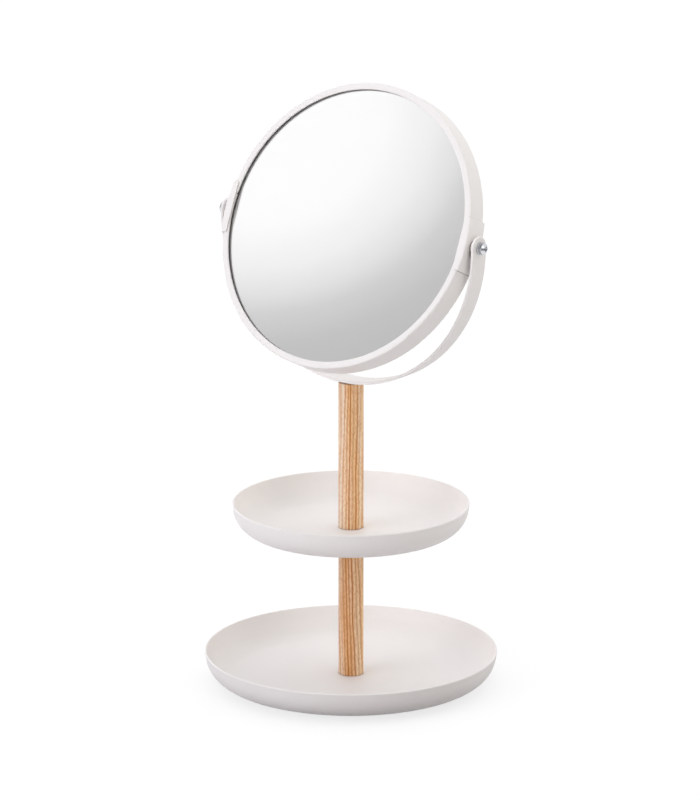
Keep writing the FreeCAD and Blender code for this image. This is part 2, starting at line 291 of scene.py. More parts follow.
def powder_coat(name, seam_shade=0.5, seam_shade_reach=1.1 * MM, beyond=None, gap=0.0):
    """Fine-textured warm white coat baked on steel.

    seam_shade is how much painted shade it gets along seams and in creases, and only beyond a distance from
    the pivot if one is given;
    gap is how much painted shade it gets deep in a narrow gap below the pivot.
    """
    s = Shader(name)
    drift = s.noise(s.places, 21.0, 3.0)
    flow = s.noise(s.places, 620.0, 2.0)
    grain = s.noise(s.places, 1500.0, 3.0, 0.6)
    shade = s.mix(s.spread(drift), linear(242, 239, 237), linear(244, 241, 240))
    shade = s.mix(s.spread(grain), shade, linear(246, 243, 242))
    # painted shade along seams and in creases
    line = s.crevice_shade_share(seam_shade_reach, 0.50, 0.80, seam_shade)
    if beyond:
        out = s.add("ShaderNodeVectorMath", operation="DISTANCE")
        s.join(s.places, out.inputs[0])
        out.inputs[1].default_value = PIVOT
        outside = s.span(out.outputs["Value"], beyond - 1.0 * MM, beyond, smooth=True)
        line = s.math("MULTIPLY", line, outside)
    shade = s.mix(line, shade, PAINTED_CREVICE_SHADE)
    # painted shade deep in the narrow gap below the pivot
    if gap:
        height = s.split(s.places)[2]
        below = s.span(height, PIVOT.z + 3.0 * MM, PIVOT.z - 4.0 * MM, 0.25, 1.0, True)
        deep = s.crevice_shade_share(4.5 * MM, 0.27, 0.36, gap, 64)
        shade = s.mix(s.math("MULTIPLY", deep, below), shade, PAINTED_CREVICE_SHADE)
    s.colour(shade)
    s.roughness(s.spread(grain, 0.42, 0.54))
    s.set(Specular_IOR_Level=0.5)
    first = s.bump(flow, 0.03 * MM, 0.5)
    s.bump(grain, 0.06 * MM, 0.9, first)
    return s.material


def ash_wood(name, heart, shift, pale, mid, dark, lean, streak_and_side_light, side_light_tints):
    """Straight-grained ash, cut from beside the heart of its tree.

    heart is the middle of the tree seen from the dowel's axis, in metres. shift tells one dowel's noise
    from the other's. The tone drifts between pale and mid, and dark is the early wood of each year. lean
    is how far the rings slant along the dowel. streak_and_side_light is a deeper layer through the dowel:
    its place, its strength, and how much deeper the tone is at one side than in the middle, that last
    being painted light. side_light_tints are tints at either side of the dowel, lighter and warmer towards
    +X and +Y: painted light.
    """
    s = Shader(name)
    x, y, z = s.split(s.places)

    def stretched(across, along, detail, rough=0.5):
        """Noise with one scale across the dowel and another along it."""
        return s.noise(s.scaled(s.places, (across, across, along), shift), 1.0, detail, rough)

    # distance from the heart, made uneven, and from it the place within a year
    sway = s.math("SUBTRACT", stretched(75, 11, 2.0), 0.5)
    ripple = s.math("SUBTRACT", stretched(420, 42, 3.0, 0.6), 0.5)
    radius = s.length(s.math("ADD", x, -heart[0]), s.math("ADD", y, -heart[1]))
    radius = s.math("ADD", radius, s.math("MULTIPLY", z, lean))
    radius = s.math("ADD", radius, s.math("MULTIPLY", sway, 5.0 * MM))
    radius = s.math("ADD", radius, s.math("MULTIPLY", ripple, 0.6 * MM))
    years = s.math("MULTIPLY", radius, 1 / (1.9 * MM))
    early = s.ramp(
        s.math("FRACT", years),
        (0.0, 0.50), (0.10, 1.0), (0.44, 0.85), (0.60, 0.10), (0.88, 0.0), (1.0, 0.50),
    )
    uneven = s.span(s.noise_along(years, 0.83, 1.0), 0.36, 0.64)
    line = s.math("MULTIPLY", early, s.span(uneven, 0.0, 1.0, 0.45, 1.0))

    # fibres, flecks and pores, all long and thin
    fibre = stretched(1700, 38, 4.0, 0.7)
    fleck = stretched(1300, 420, 2.0, 0.6)
    pore = s.span(stretched(3400, 190, 1.0), 0.56, 0.68, smooth=True)
    pore = s.math("MULTIPLY", pore, s.span(line, 0.05, 0.6, 0.15, 1.0))

    # the deeper layer, and the tone and tint from one side of the dowel to the other, which are painted light
    middle, strength, side_light_tone = streak_and_side_light
    layer = s.math("ADD", s.math("MULTIPLY", x, 0.81), s.math("MULTIPLY", y, 0.59))
    away = s.math("ABSOLUTE", s.math("ADD", layer, -middle))
    deep = s.span(away, 1.0 * MM, 5.5 * MM, strength, -strength, True)
    side = s.math("ADD", deep, s.math("MULTIPLY", layer, side_light_tone / POST_RADIUS))
    tone = s.math("ADD", stretched(170, 13, 2.0), side)
    tint = s.mix(s.span(layer, -POST_RADIUS, POST_RADIUS), side_light_tints[0], side_light_tints[1])

    base = s.mix(s.span(tone, 0.32, 0.68), pale, mid)
    base = s.mix(s.math("MULTIPLY", line, s.span(deep, -strength, strength, 0.55, 1.0)), base, dark)
    base = s.mix(s.span(fibre, 0.38, 0.66, 0.0, 0.26), base, dark)
    base = s.mix(s.span(fleck, 0.42, 0.66, 0.0, 0.40), base, dark)
    base = s.mix(s.math("MULTIPLY", pore, 0.4), base, linear(168, 112, 62))
    # the side tints, painted light
    base = s.mix(1.0, base, tint, "MULTIPLY")

    # painted shade in a thin band at the top end, under what the dowel carries
    share = s.split(s.add("ShaderNodeTexCoord").outputs["Generated"])[2]
    base = s.mix(s.span(share, 0.9925, 0.996, 0.0, 0.6, True), base, linear(92, 66, 52))
    s.colour(base)
    s.roughness(s.spread(fibre, 0.60, 0.75))
    s.set(Specular_IOR_Level=0.15)
    first = s.bump(s.math("SUBTRACT", fibre, pore), 0.05 * MM, 0.5)
    s.bump(line, 0.03 * MM, 0.4, first)
    return s.material


def turned_metal(name, tint, rough=0.17, lines=True):
    """Metal with a mottled roughness and, where turned, fine rings about the piece's own Z axis."""
    s = Shader(name)
    blotch = s.noise(s.places, 900.0, 3.0)
    darker = tuple(v * 0.86 for v in tint)
    s.colour(s.mix(s.spread(blotch), tint + (1.0,), darker + (1.0,)))
    s.roughness(s.spread(blotch, rough, rough + 0.13))
    s.set(Metallic=1.0)
    if lines:
        x, y, z = s.split(s.places)
        way = s.math("MULTIPLY", s.math("ADD", s.length(x, y), z), 9000.0)
        s.bump(s.noise_along(way, 1.0, 2.0), 0.01 * MM, 0.35)
    return s.material


def plain_polymer(name, light, dark, rough, through=0.0, gap=0.0):
    """Moulded plastic or rubber. gap is how dark it turns deep in a narrow gap."""
    s = Shader(name)
    shade = s.mix(s.spread(s.noise(s.places, 320.0, 3.0)), light, dark)
    # painted shade deep in a narrow gap
    if gap:
        shade = s.mix(s.crevice_shade_share(6.0 * MM, 0.15, 0.45, gap), shade, PAINTED_CREVICE_SHADE)
    s.colour(shade)
    s.roughness(s.spread(s.noise(s.places, 2400.0), rough, rough + 0.12))
    s.set(Transmission_Weight=through, IOR=1.46)
    s.bump(s.noise(s.places, 1500.0), 0.01 * MM, 0.5)
    return s.material


def clear_glass():
    """Clear float glass with the faint film that any glass has."""
    s = Shader("float_glass")
    film = s.noise(s.places, 70.0, 3.0)
    s.colour(s.mix(s.spread(film), (0.992, 0.993, 0.992, 1), (0.984, 0.986, 0.985, 1)))
    s.roughness(0.0)
    s.set(Transmission_Weight=1.0, IOR=1.52)
    return s.material


def silver_coat():
    """The reflecting layer on the back of the glass."""
    s = Shader("silver_backing")
    film = s.noise(s.places, 50.0, 3.0)
    s.colour(s.mix(s.spread(film), (0.93, 0.93, 0.93, 1), (0.924, 0.924, 0.925, 1)))
    s.roughness(0.0)
    s.set(Metallic=1.0)
    return s.material


def fibre_board():
    """Grey board that packs the mirror plate against the back plate."""
    s = Shader("grey_fibre_board")
    fibres = s.noise(s.scaled(s.places, (900, 300, 900)), 1.0, 4.0, 0.7)
    s.colour(s.mix(s.spread(fibres), linear(150, 140, 124), linear(176, 166, 150)))
    s.roughness(s.spread(fibres, 0.8, 0.95))
    s.bump(fibres, 0.05 * MM, 0.7)
    return s.material


# Three copies of the coat that differ in painted shade: all darken along seams and creases, the ring more and
# only near its outer face, and the right clip also deep in the gap under the pivot.
COAT = powder_coat("powder_coat_white")
COAT_RING_SEAM_SHADE = powder_coat("powder_coat_ring_seam_shade", seam_shade=0.95, seam_shade_reach=1.5 * MM, beyond=RING_SKIN)
COAT_CLIP_GAP_SHADE = powder_coat("powder_coat_clip_gap_shade", seam_shade=0.8, gap=0.9)
WOOD_UPPER = ash_wood(
    "ash_upper",
    heart=(0.052, 0.038),
    shift=(3.1, 1.7, 0.4),
    pale=linear(247, 236, 217),
    mid=linear(245, 212, 169),
    dark=linear(188, 114, 45),
    lean=0.012,
    streak_and_side_light=(0.3 * MM, 0.04, 0.10),
    side_light_tints=((1.01, 0.99, 0.98, 1), (1.12, 1.05, 0.93, 1)),
)
WOOD_LOWER = ash_wood(
    "ash_lower",
    heart=(-0.047, -0.030),
    shift=(9.3, 5.2, 2.6),
    pale=linear(243, 219, 188),
    mid=linear(230, 187, 138),
    dark=linear(171, 98, 33),
    lean=0.02,
    streak_and_side_light=(-0.3 * MM, 0.08, -0.05),
    side_light_tints=((0.99, 0.98, 1.04, 1), (1.22, 1.22, 1.16, 1)),
)
ZINC = turned_metal("bright_zinc", (0.73, 0.74, 0.77))
# Darker copies of the zinc, as painted shade: for the right screw's rim, the recess's walls and its floor.
ZINC_RIM_SHADE = turned_metal("rim_zinc_shade", (0.36, 0.365, 0.38))
ZINC_RECESS_SHADE = turned_metal("recess_zinc_shade", (0.07, 0.072, 0.078), lines=False)
ZINC_FLOOR_SHADE = turned_metal("recess_floor_zinc_shade", (0.34, 0.36, 0.38), 0.45, lines=False)
SPRING_STEEL = turned_metal("spring_steel", (0.62, 0.625, 0.64))
BRASS = turned_metal("turned_brass", (0.78, 0.62, 0.33))
NYLON_COLOURS = (linear(236, 234, 229), linear(230, 228, 221))
NYLON = plain_polymer("natural_nylon", *NYLON_COLOURS, 0.36)
# the right spacer's copy, with painted shade deep in the gap
NYLON_GAP_SHADE = plain_polymer("natural_nylon_gap_shade", *NYLON_COLOURS, 0.36, gap=0.6)
RUBBER = plain_polymer("clear_rubber", linear(222, 222, 216), linear(212, 212, 205), 0.42, 0.35)
BOARD = fibre_board()
GLASS = clear_glass()
SILVER = silver_coat()

NODE_MATERIALS = {
    "ring_frame": COAT_RING_SEAM_SHADE,
    "back_plate": COAT,
    "packing_disc": BOARD,
    "pivot_clip_left": COAT,
    "pivot_clip_right": COAT_CLIP_GAP_SHADE,
    "pivot_nut_left": SPRING_STEEL,
    "pivot_nut_right": SPRING_STEEL,
    "yoke": COAT,
    "yoke_stud": ZINC,
    "upper_post": WOOD_UPPER,
    "upper_post_top_insert": BRASS,
    "upper_post_bottom_insert": BRASS,
    "tray_stud": ZINC,
    "upper_tray": COAT,
    "lower_post": WOOD_LOWER,
    "lower_post_top_insert": BRASS,
    "lower_post_bottom_insert": BRASS,
    "lower_tray": COAT,
    "base_washer": ZINC,
    "foot_pads": RUBBER,
}
for node_name, node_material in NODE_MATERIALS.items():
    for material_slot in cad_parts[node_name].material_slots:
        material_slot.material = node_material


# ================= mesh helpers =================

def piece_from(name, verts, faces, materials, choose=None):
    """An object of its own mesh, smooth apart from its sharp edges. choose picks a face's material."""
    mesh = bpy.data.meshes.new(name)
    mesh.from_pydata(verts, [], faces)
    for material in materials:
        mesh.materials.append(material)
    made = bmesh.new()
    made.from_mesh(mesh)
    bmesh.ops.remove_doubles(made, verts=made.verts, dist=1e-7)
    bmesh.ops.recalc_face_normals(made, faces=made.faces)
    for face in made.faces:
        face.smooth = True
        if choose:
            face.material_index = choose(face)
    for edge in made.edges:
        edge.smooth = len(edge.link_faces) == 2 and edge.calc_face_angle(0) < SHARP_EDGE
    made.to_mesh(mesh)
    made.free()
    piece = bpy.data.objects.new(name, mesh)
    bpy.context.scene.collection.objects.link(piece)
    return piece


def square(name, half, height, material):
    """A flat level square about the origin."""
    verts = [(x * half, y * half, height) for x, y in ((-1, -1), (1, -1), (1, 1), (-1, 1))]
    return piece_from(name, verts, [(0, 1, 2, 3)], [material])


def lathe(outline, segments, turn=math.tau, rise=0.0, closed=True, start=0.0):
    """Verts and faces of an outline of (radius, height) swept about Z. Part of a turn gets its end caps."""
    full = abs(turn - math.tau) < 1e-9
    stations = segments if full else segments + 1
    verts = []
    for step in range(stations):
        share = step / segments
        angle = start + turn * share
        for radius, height in outline:
            verts.append((radius * math.cos(angle), radius * math.sin(angle), height + rise * share))
    count = len(outline)
    faces = []
    for step in range(segments):
        here = step * count
        there = ((step + 1) % stations) * count
        for k in range(count if closed else count - 1):
            k2 = (k + 1) % count
            faces.append((here + k, here + k2, there + k2, there + k))
    if not full:
        faces.append(tuple(range(count)))
        faces.append(tuple(range((stations - 1) * count, stations * count))[::-1])
    return verts, faces


def ring_faces(rows, around):
    """Faces between rings of verts that follow each other, open at both ends."""
    faces = []
    for row in range(rows):
        low = row * around
        high = low + around
        for k in range(around):
            k2 = (k + 1) % around
            faces.append((low + k, low + k2, high + k2, high + k))
    return faces


def ring_cap(row, around):
    """The face that closes one ring of verts."""
    return tuple(range(row * around, (row + 1) * around))


def rounded_box_outline(inner, outer, low, high, edge, steps=4):
    """A rectangle of (radius, height) with rounded corners."""
    corners = (
        (outer - edge, high - edge, 0),
        (inner + edge, high - edge, 90),
        (inner + edge, low + edge, 180),
        (outer - edge, low + edge, 270),
    )
    points = []
    for r, z, first in corners:
        for k in range(steps + 1):
            a = math.radians(first + 90 * k / steps)
            points.append((r + edge * math.cos(a), z + edge * math.sin(a)))
    return points


def frustum_bar(name, mouth, foot, top, depth, turn):
    """A bar that cuts downwards from a height and tapers from its mouth to its foot, both (length, width)."""
    verts = []
    for z, (long, wide) in ((top, mouth), (top - depth, foot)):
        for sx, sy in ((-1, -1), (1, -1), (1, 1), (-1, 1)):
            x, y = sx * long / 2, sy * wide / 2
            verts.append((
                x * math.cos(turn) - y * math.sin(turn),
                x * math.sin(turn) + y * math.cos(turn),
                z,
            ))
    faces = [(0, 1, 2, 3), (7, 6, 5, 4), (0, 4, 5, 1), (1, 5, 6, 2), (2, 6, 7, 3), (3, 7, 4, 0)]
    return piece_from(name, verts, faces, [])


def cross_bars(name, mouth, foot, top, depth, turn):
    """Two bars at right angles, for a cross recess."""
    return [frustum_bar(name + "%d" % k, mouth, foot, top, depth, turn + k * math.pi / 2) for k in range(2)]


def apply_modifiers(piece):
    """Makes a piece's modifiers part of its mesh."""
    view = bpy.context.evaluated_depsgraph_get()
    view.update()
    mesh = bpy.data.meshes.new_from_object(piece.evaluated_get(view))
    piece.modifiers.clear()
    old = piece.data
    piece.data = mesh
    bpy.data.meshes.remove(old)


def cut(piece, *cutters):
    """Takes the cutters out of a piece and deletes them."""
    for cutter in cutters:
        tool = piece.modifiers.new("cut", "BOOLEAN")
        tool.object = cutter
        tool.operation = "DIFFERENCE"
        tool.solver = "EXACT"
    apply_modifiers(piece)
    for cutter in cutters:
        bpy.data.objects.remove(cutter)


def soften(piece, width):
    """A small bevel on a piece's sharp edges."""
    bevel = piece.modifiers.new("soften", "BEVEL")
    bevel.width = width
    bevel.segments = 2
    bevel.angle_limit = BEVELLED_EDGE
    bevel.use_clamp_overlap = True
    apply_modifiers(piece)


def joined(name, pieces):
    """One piece of several, each closed by itself, with the materials of the first."""
    made = bmesh.new()
    for piece in pieces:
        made.from_mesh(piece.data)
    mesh = bpy.data.meshes.new(name)
    made.to_mesh(mesh)
    made.free()
    for material in pieces[0].data.materials:
        mesh.materials.append(material)
    for piece in pieces:
        bpy.data.objects.remove(piece)
    whole = bpy.data.objects.new(name, mesh)
    bpy.context.scene.collection.objects.link(whole)
    return whole


def place(piece, matrix, body, slot, node):
    """Puts a piece where it belongs, on its body and in place of a node. slot is not used."""
    piece.matrix_world = matrix
    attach(piece, body)
    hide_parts(node)


# ================= screws =================

def screw_shank(radius, start, end):
    """Verts and faces of a threaded shank, from its tip up to the head."""
    rows = int((end - start) / THREAD_PITCH * THREAD_ROWS)
    verts = []
    for row in range(rows + 1):
        z = start + (end - start) * row / rows
        ease = min(1.0, (z - start) / SCREW_TIP)
        for k in range(THREAD_SIDES):
            phase = (z / THREAD_PITCH - k / THREAD_SIDES) % 1.0
            crest = 1 - abs(2 * phase - 1)
            thread = THREAD_DEPTH * (1 - min(1.0, crest * THREAD_STEEPNESS))
            r = (radius - THREAD_PLAY - thread) - (1 - ease) * SCREW_TIP * TIP_SLOPE
            a = math.tau * k / THREAD_SIDES
            verts.append((r * math.cos(a), r * math.sin(a), z))
    caps = [ring_cap(0, THREAD_SIDES)[::-1], ring_cap(rows, THREAD_SIDES)]
    return verts, ring_faces(rows, THREAD_SIDES) + caps


def dome_radius(radius, rise):
    """Radius of the sphere whose cap has a given radius and rise."""
    return (radius ** 2 + rise ** 2) / (2 * rise)


def pan_head(radius, seat, height, steps=14):
    """Outline of a pan head from its seat to the middle of its dome."""
    dome = dome_radius(radius, height - HEAD_RIM)
    centre = seat + height - dome
    first = math.acos((radius - HEAD_EDGE * 0.35) / dome)
    points = [
        (0.0, seat),
        (radius - HEAD_EDGE, seat),
        (radius - HEAD_EDGE * 0.3, seat + HEAD_EDGE * 0.3),
        (radius, seat + HEAD_EDGE),
        (radius, centre + dome * math.sin(first) - HEAD_EDGE * 0.5),
    ]
    for k in range(steps + 1):
        a = first + (math.pi / 2 - first) * k / steps
        points.append((dome * math.cos(a), centre + dome * math.sin(a)))
    return points


def machine_screw(name, tip, seat, height, head_radius, rim_metal):
    """Pan head with a long slot across a tapered cross recess, on a rolled thread."""
    verts, faces = lathe(pan_head(head_radius, seat, height), HEAD_SEGMENTS, closed=False)
    # the recess walls, its floor and the rim get darker zinc: painted shade
    head = piece_from(name + "_head", verts, faces, [ZINC, ZINC_RECESS_SHADE, ZINC_FLOOR_SHADE, rim_metal])
    wall, floor, rim = 1, 2, 3        # places in that list
    top = seat + height
    turn = math.pi / 2                # a slot along Y lies level once the screw is in its pivot
    slot_depth = SLOT_ABOVE + SLOT_DEPTH
    wing_depth = WING_ABOVE + WING_DEPTH
    slot = frustum_bar(name + "_slot", SLOT_MOUTH, SLOT_FOOT, top + SLOT_ABOVE, slot_depth, turn)
    wings = cross_bars(name + "_wing", WING_MOUTH, WING_FOOT, top + WING_ABOVE, wing_depth, turn)
    cut(head, slot, *wings)
    soften(head, HEAD_SOFTENING)
    dome = dome_radius(head_radius, height - HEAD_RIM)
    for face in head.data.polygons:
        x, y, z = face.center
        surface = top - dome + math.sqrt(dome ** 2 - x * x - y * y)
        sunk = seat + SEAT_MARGIN < z < surface - RECESS_MARGIN
        if sunk and math.hypot(x, y) < head_radius - RECESS_MARGIN:
            face.material_index = floor if face.normal.z > FACES_UP else wall
        elif math.hypot(x, y) > head_radius - RIM_MARGIN:
            face.material_index = rim
    verts, faces = screw_shank(SCREW_RADIUS, tip, seat + SHANK_OVERLAP)
    shank = piece_from(name + "_shank", verts, faces, [ZINC])
    return joined(name, [head, shank])


def base_screw():
    """Low head with a cross recess under the base, on the thread that holds the lower post."""
    low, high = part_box("base_screw")
    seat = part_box("base_washer")[0].z
    radius = FOOT_HEAD_RADIUS
    outline = [
        (0.0, low.z),
        (radius - 0.9 * MM, low.z),
        (radius - 0.25 * MM, low.z + 0.3 * MM),
        (radius, low.z + 0.75 * MM),
        (radius, seat - 0.12 * MM),
        (radius - 0.1 * MM, seat),
        (0.0, seat),
    ]
    verts, faces = lathe(outline, HEAD_SEGMENTS, closed=False)
    head = piece_from("foot_screw_head", verts, faces, [ZINC])
    depth = FOOT_WING_ABOVE + FOOT_WING_DEPTH
    wings = cross_bars("foot_wing", FOOT_WING_MOUTH, FOOT_WING_FOOT, FOOT_WING_ABOVE, depth, math.pi / 4)
    for wing in wings:
        wing.data.transform(Matrix.Translation((0, 0, low.z)) @ Matrix.Rotation(math.pi, 4, "X"))
    cut(head, *wings)
    verts, faces = screw_shank(FOOT_SCREW_RADIUS, -high.z, -seat)
    shank = piece_from("foot_screw_shank", [(x, -y, -z) for x, y, z in verts], faces, [ZINC])
    place(joined("foot_screw", [head, shank]), Matrix.Identity(4), "stand", "zinc_steel", "base_screw")


# ================= pivots =================

def facing(side, turn=0.0):
    """From a piece built about Z to the pivot axis, pointing out to +X (side 1) or -X (side -1)."""
    outwards = Matrix.Rotation(side * math.pi / 2, 4, "Y")
    return Matrix.Translation(PIVOT) @ Matrix.Rotation(turn, 4, "X") @ outwards


def reach(node, side):
    """How far a node of one side starts and ends from the middle, along the pivot axis."""
    low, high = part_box(node)
    return (low.x, high.x) if side > 0 else (-high.x, -low.x)


def round_radius(node):
    """Radius of a round node whose axis is the pivot's."""
    low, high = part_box(node)
    return (high.z - low.z) / 2


def pivot_screw(word, side):
    start, end = reach("pivot_screw_" + word, side)
    seat = reach("lock_washer_" + word, side)[1]
    radius = round_radius("pivot_screw_" + word)
    # painted shade on the right screw's rim only
    rim_metal = ZINC_RIM_SHADE if side > 0 else ZINC
    screw = machine_screw("machine_screw_" + word, start, seat, end - seat, radius, rim_metal)
    place(screw, facing(side, SLOT_TURN[side]), "mirror", "zinc_steel", "pivot_screw_" + word)


def spring_washer(word, side):
    """Split and slightly wound, so that one end stands off the other."""
    start, end = reach("lock_washer_" + word, side)
    flat = round_radius("flat_washer_" + word)
    outline = rounded_box_outline(HOLE_RADIUS, flat - SPRING_STEP, start, end - SPRING_ROOM, SPRING_EDGE)
    gap = SPRING_SPLIT / flat
    verts, faces = lathe(outline, WASHER_SEGMENTS, math.tau - gap, SPRING_RISE, start=gap / 2)
    washer = piece_from("spring_washer_" + word, verts, faces, [SPRING_STEEL])
    place(washer, facing(side, SPRING_TURN), "mirror", "zinc_steel", "lock_washer_" + word)


def flat_washer(word, side):
    radius = round_radius("flat_washer_" + word)
    start, end = reach("flat_washer_" + word, side)
    outline = rounded_box_outline(HOLE_RADIUS, radius, start, end, FLAT_WASHER_EDGE)
    washer = piece_from("plain_washer_" + word, *lathe(outline, WASHER_SEGMENTS), [ZINC])
    place(washer, facing(side), "mirror", "zinc_steel", "flat_washer_" + word)


def pivot_spacer(word, side):
    """Nylon ring between clip and yoke. The right one is seen deep in the gap between them."""
    radius = round_radius("pivot_spacer_" + word)
    start, end = reach("pivot_spacer_" + word, side)
    outline = rounded_box_outline(HOLE_RADIUS, radius, start, end, SPACER_EDGE)
    # the right spacer gets painted shade, as it lies deep in the gap
    polymer = NYLON_GAP_SHADE if side > 0 else NYLON
    spacer = piece_from("moulded_spacer_" + word, *lathe(outline, WASHER_SEGMENTS), [polymer])
    place(spacer, facing(side), "mirror", "nylon", "pivot_spacer_" + word)


# ================= mirror plate =================

def mirror_plate():
    """Second-surface mirror: a clear slab with ground edges, silvered on its back."""
    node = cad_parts["mirror_glass"]
    tilt = Matrix.Translation(PIVOT) @ Matrix.Rotation(MIRROR_TILT, 4, "X")
    upright = tilt.inverted() @ node.matrix_world
    points = [upright @ corner.co for corner in node.data.vertices]
    radius = max(point.x for point in points)
    front = min(point.y for point in points) + PLATE_PLAY
    back = max(point.y for point in points) - PLATE_PLAY
    outline = (
        (radius - PLATE_EDGE, front),
        (radius, front + PLATE_EDGE),
        (radius, back - PLATE_EDGE),
        (radius - PLATE_EDGE, back),
    )
    verts = []
    for r, y in outline:
        for k in range(PLATE_SEGMENTS):
            a = math.tau * k / PLATE_SEGMENTS
            verts.append((r * math.cos(a), y, r * math.sin(a)))

    def layer(face):
        return 1 if face.calc_center_median().y > back - PLATE_EDGE / 4 else 0

    rows = len(outline) - 1
    caps = [ring_cap(0, PLATE_SEGMENTS), ring_cap(rows, PLATE_SEGMENTS)[::-1]]
    faces = caps + ring_faces(rows, PLATE_SEGMENTS)
    plate = piece_from("mirror_plate", verts, faces, [GLASS, SILVER], layer)
    place(plate, tilt, "mirror", "silvered_glass", "mirror_glass")


for side_word, side_sign in (("right", 1), ("left", -1)):
    pivot_screw(side_word, side_sign)
    spring_washer(side_word, side_sign)
    flat_washer(side_word, side_sign)
    pivot_spacer(side_word, side_sign)
mirror_plate()
base_screw()


# ================= camera =================

def photo_camera():
    data = bpy.data.cameras.new("camera")
    data.sensor_fit = "AUTO"
    data.sensor_width = SENSOR
    data.lens = FOCAL_PIXELS / FRAME_LONG_SIDE * SENSOR
    data.shift_x = -CAMERA_PAN_PIXELS / FRAME_LONG_SIDE
    data.clip_start = CLIP_NEAR
    data.clip_end = CLIP_FAR
    made = bpy.data.objects.new("camera", data)
    made.location = (
        CAMERA_REACH * math.sin(CAMERA_AZIMUTH),
        -CAMERA_REACH * math.cos(CAMERA_AZIMUTH),
        CAMERA_HEIGHT,
    )
    made.rotation_euler = (math.pi / 2 - CAMERA_PITCH, 0, CAMERA_AZIMUTH)
    bpy.context.scene.collection.objects.link(made)
    return made


camera = photo_camera()
bpy.context.scene.camera = camera


# ================= floor =================

FLOOR_HALF = 12.0
FLOOR_DROP = 0.2 * MM                        # under the pads, so that no faces share a plane
FLOOR_NEAR = (0.400, 0.380, 0.395, 1)        # what it gives back to the object, close by
FLOOR_FAR = (0.745, 0.735, 0.74, 1)
FLOOR_NEAR_EDGE = 0.10                       # from the stand's axis
FLOOR_FAR_EDGE = 0.55
FLOOR_MATTE = (0.28, 0.28, 0.28, 1)          # the part of the seen floor that takes the shadow
FLOOR_GLOW = 0.745


def studio_floor():
    """White floor that keeps the shadow, and gives back less light from below than it seems to."""
    s = Shader("studio_floor")
    seen = s.add("ShaderNodeLightPath")
    shown = s.math("ADD", seen.outputs["Is Camera Ray"], seen.outputs["Is Glossy Ray"], clamp=True)
    shown = s.math("ADD", shown, seen.outputs["Is Transmission Ray"], clamp=True)
    x, y, _ = s.split(s.places)
    far = s.span(s.length(x, y), FLOOR_NEAR_EDGE, FLOOR_FAR_EDGE)
    bounce = s.add("ShaderNodeBsdfDiffuse")
    s.join(s.mix(far, FLOOR_NEAR, FLOOR_FAR), bounce.inputs["Color"])
    matte = s.add("ShaderNodeBsdfDiffuse")
    matte.inputs["Color"].default_value = FLOOR_MATTE
    glow = s.add("ShaderNodeEmission")
    glow.inputs["Strength"].default_value = FLOOR_GLOW
    both = s.add("ShaderNodeAddShader")
    s.join(matte.outputs[0], both.inputs[0])
    s.join(glow.outputs[0], both.inputs[1])
    pick = s.add("ShaderNodeMixShader")
    s.join(shown, pick.inputs[0])
    s.join(bounce.outputs[0], pick.inputs[1])
    s.join(both.outputs[0], pick.inputs[2])
    s.replace_surface(pick)
    return s.material


square("studio_floor", FLOOR_HALF, -FLOOR_DROP, studio_floor())


# ================= soft box that the mirror shows =================

CARD_DISTANCE = 1.2
CARD_HALF = 0.42
CARD_GLOW = 0.53                 # added to what the world gives
CARD_SHIFT = (-92.0, 118.0)      # of its bright middle in the picture, in pixels from the pivot
CARD_STRETCH = (0.92, 1.03)      # how fast it fades level and upright, against a round one
CARD_BRIGHT = 90.0               # pixels from its middle to where it starts to fade
CARD_DARK = 290.0                # and to where it ends


def soft_box_glow(pixel):
    """Light that fades out from the middle. pixel is the size of one at the card, in metres."""
    s = Shader("soft_box")
    x, y, _ = s.split(s.places)
    away = s.length(s.math("MULTIPLY", x, CARD_STRETCH[0]), s.math("MULTIPLY", y, CARD_STRETCH[1]))
    fade = s.ramp(
        s.span(s.math("DIVIDE", away, pixel), CARD_BRIGHT, CARD_DARK),
        (0.0, 1.0), (0.16, 0.97), (0.38, 0.76), (0.52, 0.52), (0.62, 0.27), (0.78, 0.08), (1.0, 0.0),
    )
    clear = s.add("ShaderNodeBsdfTransparent")
    glow = s.add("ShaderNodeEmission")
    s.join(s.math("MULTIPLY", fade, CARD_GLOW), glow.inputs["Strength"])
    both = s.add("ShaderNodeAddShader")
    s.join(clear.outputs[0], both.inputs[0])
    s.join(glow.outputs[0], both.inputs[1])
    s.replace_surface(both)
    return s.material


def soft_box():
    """A card where the mirror at rest shows it to the camera. Only shiny things see it."""
    normal = Vector((0, -math.cos(MIRROR_TILT), -math.sin(MIRROR_TILT)))
    eye = Vector(camera.location)
    virtual_eye = eye - 2 * (eye - PIVOT).dot(normal) * normal
    line = PIVOT - virtual_eye
    mirrored = Matrix.Identity(3)
    for row in range(3):
        for column in range(3):
            mirrored[row][column] -= 2 * normal[row] * normal[column]
    to_world = camera.rotation_euler.to_matrix()
    right = mirrored @ (to_world @ Vector((1, 0, 0)))
    up = mirrored @ (to_world @ Vector((0, 1, 0)))
    pixel = (line.length + CARD_DISTANCE) / FOCAL_PIXELS
    shift = right * CARD_SHIFT[0] * pixel + up * CARD_SHIFT[1] * pixel
    middle = PIVOT + line.normalized() * CARD_DISTANCE + shift
    card = square("soft_box", CARD_HALF, 0.0, soft_box_glow(pixel))
    basis = Matrix((right, up, right.cross(up))).transposed().to_4x4()
    card.matrix_world = Matrix.Translation(middle) @ basis
    card.visible_camera = False
    card.visible_diffuse = False
    card.visible_shadow = False


soft_box()


# ================= world, which lights every matt surface =================

NEUTRAL = (1.0, 1.0, 1.0)
PINK = (1.0, 0.979, 1.012)
COOL = (0.985, 1.0, 1.025)
MILD = (1.01, 0.99, 0.95)
WARM = (1.03, 0.99, 0.90)
